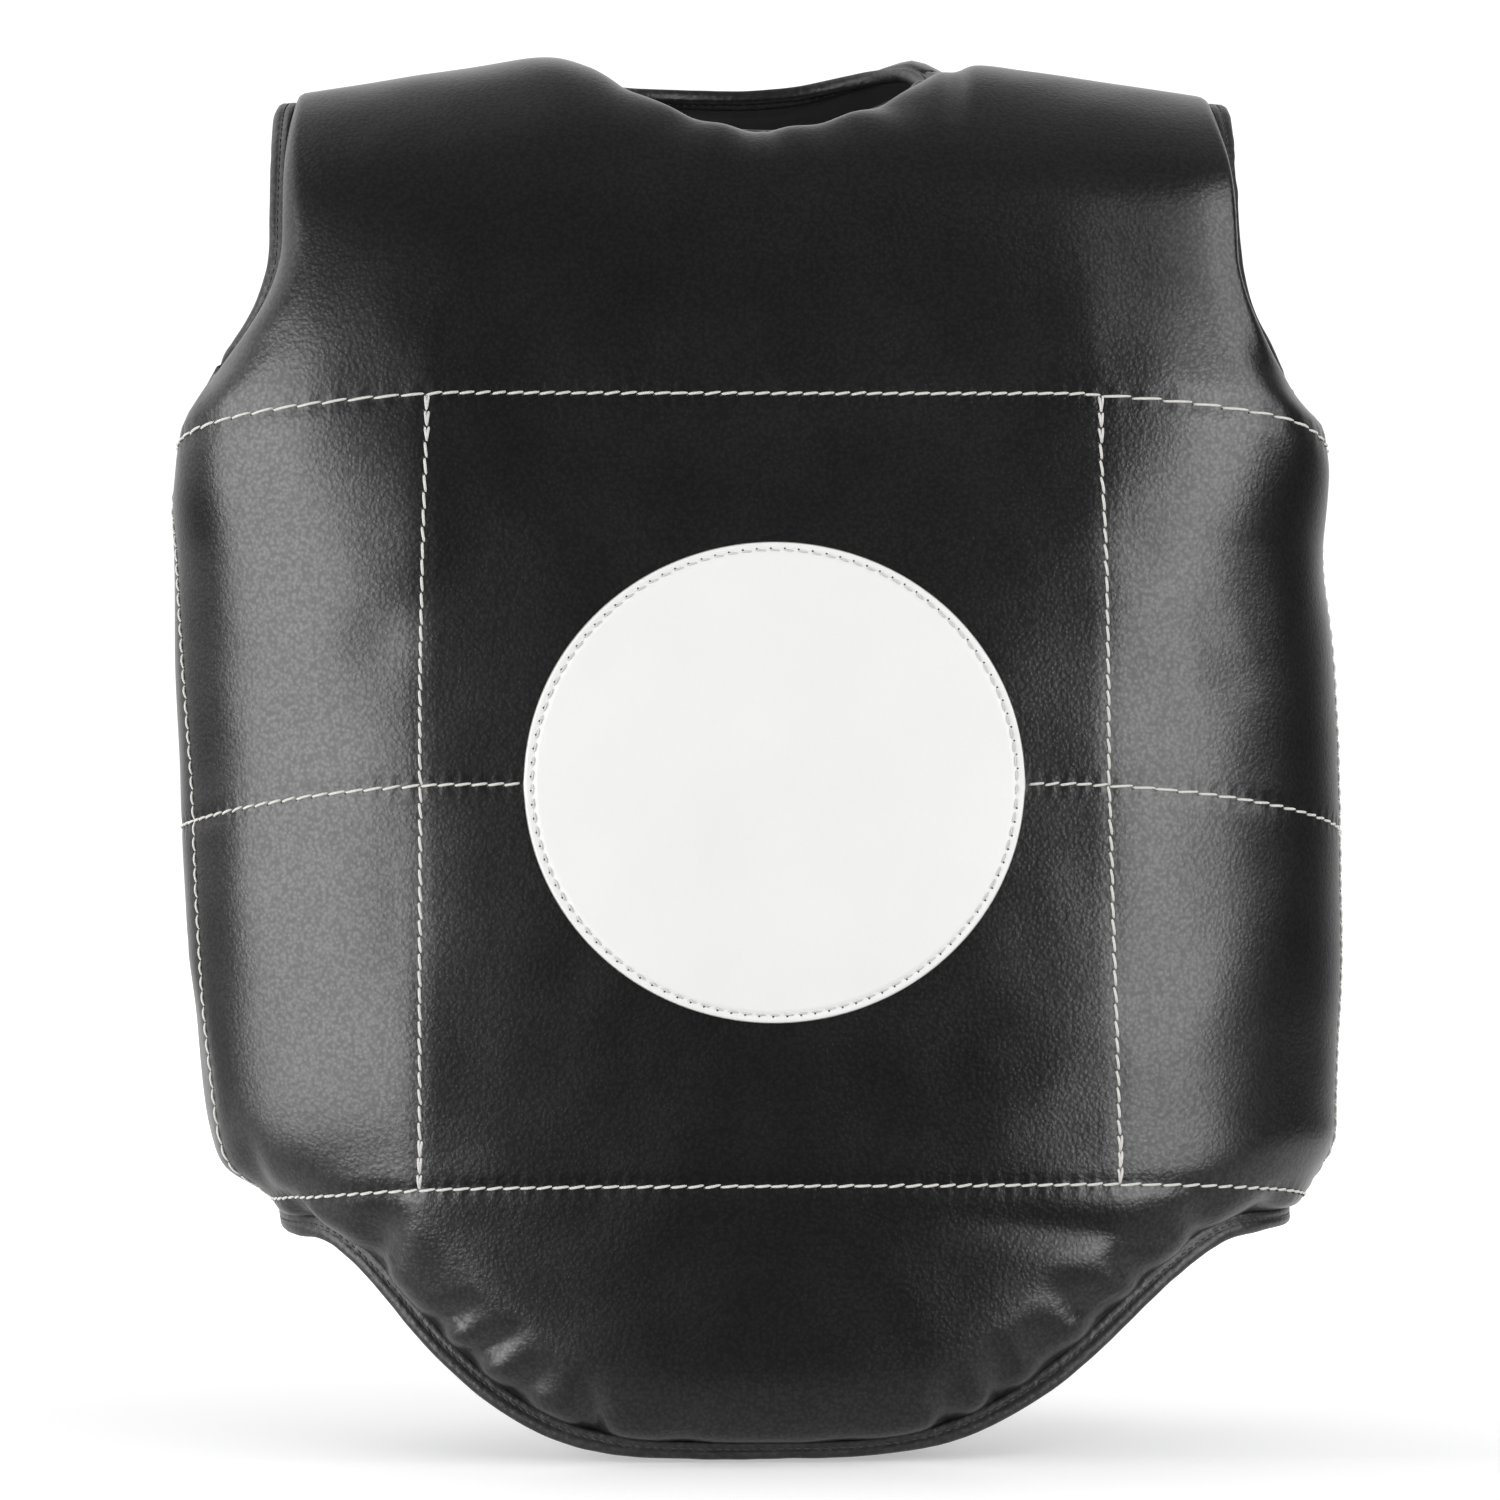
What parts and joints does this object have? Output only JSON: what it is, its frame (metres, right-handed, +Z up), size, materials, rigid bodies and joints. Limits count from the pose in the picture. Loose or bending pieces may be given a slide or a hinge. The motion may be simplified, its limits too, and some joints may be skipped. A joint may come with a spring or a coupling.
{
  "type": "body protector",
  "caption": "Padded torso guard pulled on like a sleeveless vest, with a quilted front that falls to an apron, a round chest patch and taped edges.",
  "frame": {"origin": "midway between the two shoulder straps, under them on the shoulder line, where the wearer's shoulders carry the guard", "axes": "+Z up, the quilted front faces -Y, +X toward the viewer's right when the front is looked at"},
  "size_m": [0.4884, 0.2164, 0.5837],
  "materials": {
    "pad_leather": "semi-gloss synthetic leather over foam",
    "patch_leather": "smooth white synthetic leather",
    "tape_leather": "folded synthetic leather tape"
  },
  "bodies": {
    "root": {"front_panel": "pad_leather", "back_panel": "pad_leather", "chest_patch": "patch_leather", "neck_binding": "tape_leather", "armhole_binding_left": "tape_leather", "armhole_binding_right": "tape_leather", "hem_binding": "tape_leather"}
  },
  "joints": []
}
